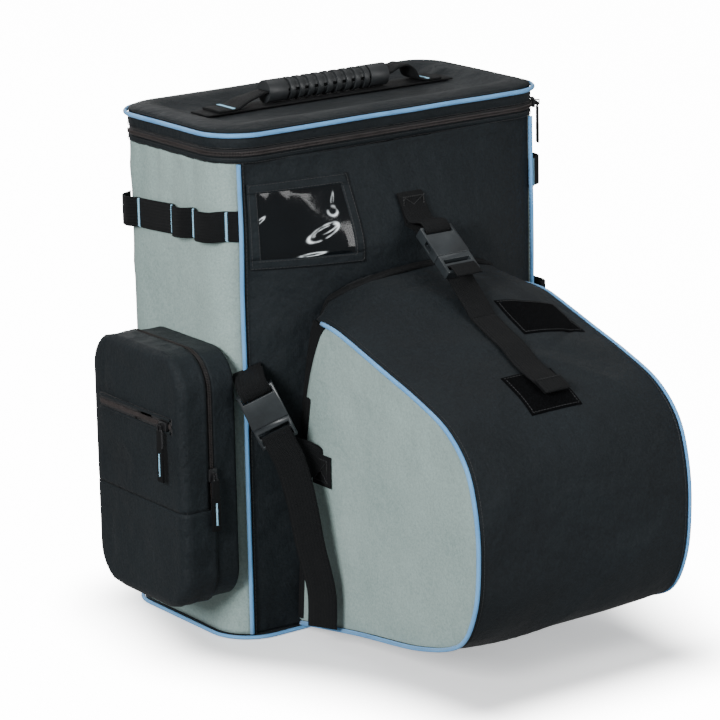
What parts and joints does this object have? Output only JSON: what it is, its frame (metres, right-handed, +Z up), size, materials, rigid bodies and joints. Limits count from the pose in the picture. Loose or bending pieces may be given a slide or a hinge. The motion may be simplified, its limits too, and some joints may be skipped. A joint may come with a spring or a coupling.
{
  "type": "ski boot bag",
  "caption": "Soft ski boot bag with a zipped lid and carry handle, a buckled swing-down front flap, a deep zipped side pocket, gear loops and a document window.",
  "frame": {"origin": "centre of the underside of the base panel", "axes": "+Z up; the front with the swing-down flap faces -Y; the zipped side pocket is on -X"},
  "size_m": [0.4799, 0.5266, 0.5432],
  "materials": {
    "grey_fabric": "woven polyester, coated",
    "black_fabric": "woven polyester, padded",
    "blue_piping": "covered cord",
    "black_webbing": "ribbed webbing",
    "buckle_plastic": "moulded acetal",
    "zip_tape": "coil zipper",
    "zip_slider": "black enamel",
    "pull_tab": "metal puller with a webbing tab",
    "grip_rubber": "moulded, ribbed",
    "clear_film": "clear flexible film",
    "hook_tape": "hook-and-loop pile",
    "board": "stiffener board"
  },
  "bodies": {
    "bag": {"back_pad": "black_fabric", "back_panel": "black_fabric", "back_webbing": "black_webbing", "base_panel": "black_fabric", "body_piping": "blue_piping", "center_buckle_socket": "buckle_plastic", "front_panel": "black_fabric", "gear_loops": "black_webbing", "id_window_film": "clear_film", "id_window_frame": "black_fabric", "left_buckle_socket": "buckle_plastic", "lid_hinge_strip": "black_fabric", "lid_zip_lower": "zip_tape", "pocket_gusset": "black_fabric", "pocket_lower_shell": "black_fabric", "pocket_zip_inner": "zip_tape", "right_buckle_socket": "buckle_plastic", "shoulder_straps": "black_fabric", "side_panel_left": "grey_fabric", "side_panel_right": "grey_fabric", "slip_pocket": "black_fabric", "slip_pocket_hem": "black_webbing", "stiffener_boards": "board", "strap_adjusters": "buckle_plastic", "strap_anchors": "black_webbing", "top_band": "black_fabric"},
    "lid": {"lid_zip_upper": "zip_tape", "lid_band": "black_fabric", "lid_top_panel": "black_fabric", "lid_piping": "blue_piping", "handle_base_strip": "black_webbing"},
    "handle": {"handle_grip": "grip_rubber", "handle_strap": "black_webbing"},
    "flap": {"flap_side_panel_left": "grey_fabric", "flap_side_panel_right": "grey_fabric", "flap_cover": "black_fabric", "flap_binding": "black_webbing", "flap_piping": "blue_piping", "hook_patches": "hook_tape", "center_strap_lower": "black_webbing", "strap_tabs": "black_webbing", "center_strap_link": "black_webbing", "left_strap_link": "black_webbing", "right_strap_link": "black_webbing"},
    "center_plug": {"center_buckle_plug": "buckle_plastic"},
    "left_plug": {"left_buckle_plug": "buckle_plastic", "left_strap_tail": "black_webbing"},
    "right_plug": {"right_buckle_plug": "buckle_plastic", "right_strap_tail": "black_webbing"},
    "pocket_front": {"pocket_cover": "black_fabric", "pocket_zip_outer": "zip_tape", "pocket_face_zip": "zip_tape"},
    "pocket_face_slider": {"pocket_face_slider": "zip_slider"},
    "pocket_face_pull": {"pocket_face_pull": "pull_tab"},
    "pocket_side_slider": {"pocket_side_slider": "zip_slider"},
    "pocket_side_pull": {"pocket_side_pull": "pull_tab"},
    "lid_rear_slider": {"lid_rear_slider": "zip_slider"},
    "lid_rear_pull": {"lid_rear_pull": "pull_tab"},
    "lid_front_slider": {"lid_front_slider": "zip_slider"},
    "lid_front_pull": {"lid_front_pull": "pull_tab"}
  },
  "joints": [
    {"name": "lid_hinge", "type": "hinge", "parent": "bag", "child": "lid", "pos_m": [0, 0.1015, 0.48765], "axis": [-1, 0, 0], "range_deg": [0, 110], "deforming": ["lid_hinge_strip"]},
    {"name": "handle_swing", "type": "hinge", "parent": "lid", "child": "handle", "pos_m": [0, 0.012, 0.5172], "axis": [1, 0, 0], "range_deg": [-30, 30], "deforming": ["handle_strap"]},
    {"name": "lid_rear_slide", "type": "slide", "parent": "bag", "child": "lid_rear_slider", "axis": [0, 1, 0], "range_m": [0, 0.095]},
    {"name": "lid_rear_pull_swing", "type": "hinge", "parent": "lid_rear_slider", "child": "lid_rear_pull", "pos_m": [0.2033, -0.046, 0.48765], "axis": [0, -1, 0], "range_deg": [0, 95]},
    {"name": "lid_front_turn", "type": "hinge", "parent": "bag", "child": "lid_front_slider", "pos_m": [0.154, -0.058, 0.48765], "axis": [0, 0, -1], "range_deg": [0, 55]},
    {"name": "lid_front_pull_swing", "type": "hinge", "parent": "lid_front_slider", "child": "lid_front_pull", "pos_m": [0.1967, -0.08265, 0.48765], "axis": [-0.5, -0.866, 0], "range_deg": [0, 95]},
    {"name": "pocket_cover_hinge", "type": "hinge", "parent": "bag", "child": "pocket_front", "pos_m": [-0.258, -0.0265, 0.14715], "axis": [0, -1, 0], "range_deg": [0, 60]},
    {"name": "pocket_face_slide", "type": "slide", "parent": "pocket_front", "child": "pocket_face_slider", "axis": [0, 1, 0], "range_m": [0, 0.11]},
    {"name": "pocket_face_pull_swing", "type": "hinge", "parent": "pocket_face_slider", "child": "pocket_face_pull", "pos_m": [-0.267, -0.08, 0.232], "axis": [0, 1, 0], "range_deg": [0, 95]},
    {"name": "pocket_side_slide", "type": "slide", "parent": "bag", "child": "pocket_side_slider", "axis": [0, 0, 1], "range_m": [0, 0.07]},
    {"name": "pocket_side_pull_swing", "type": "hinge", "parent": "pocket_side_slider", "child": "pocket_side_pull", "pos_m": [-0.226, -0.1125, 0.182], "axis": [-1, 0, 0], "range_deg": [0, 95]},
    {"name": "flap_hinge", "type": "hinge", "parent": "bag", "child": "flap", "pos_m": [0, -0.107, 0.005], "axis": [1, 0, 0], "range_deg": [0, 75]},
    {"name": "center_buckle_release", "type": "slide", "parent": "flap", "child": "center_plug", "axis": [0, -0.7934, -0.6088], "range_m": [0, 0.022], "deforming": ["center_strap_link"]},
    {"name": "left_buckle_release", "type": "slide", "parent": "flap", "child": "left_plug", "axis": [0.3398, -0.2398, -0.9094], "range_m": [0, 0.022], "deforming": ["left_strap_link"]},
    {"name": "right_buckle_release", "type": "slide", "parent": "flap", "child": "right_plug", "axis": [-0.3398, -0.2398, -0.9094], "range_m": [0, 0.022], "deforming": ["right_strap_link"]}
  ]
}
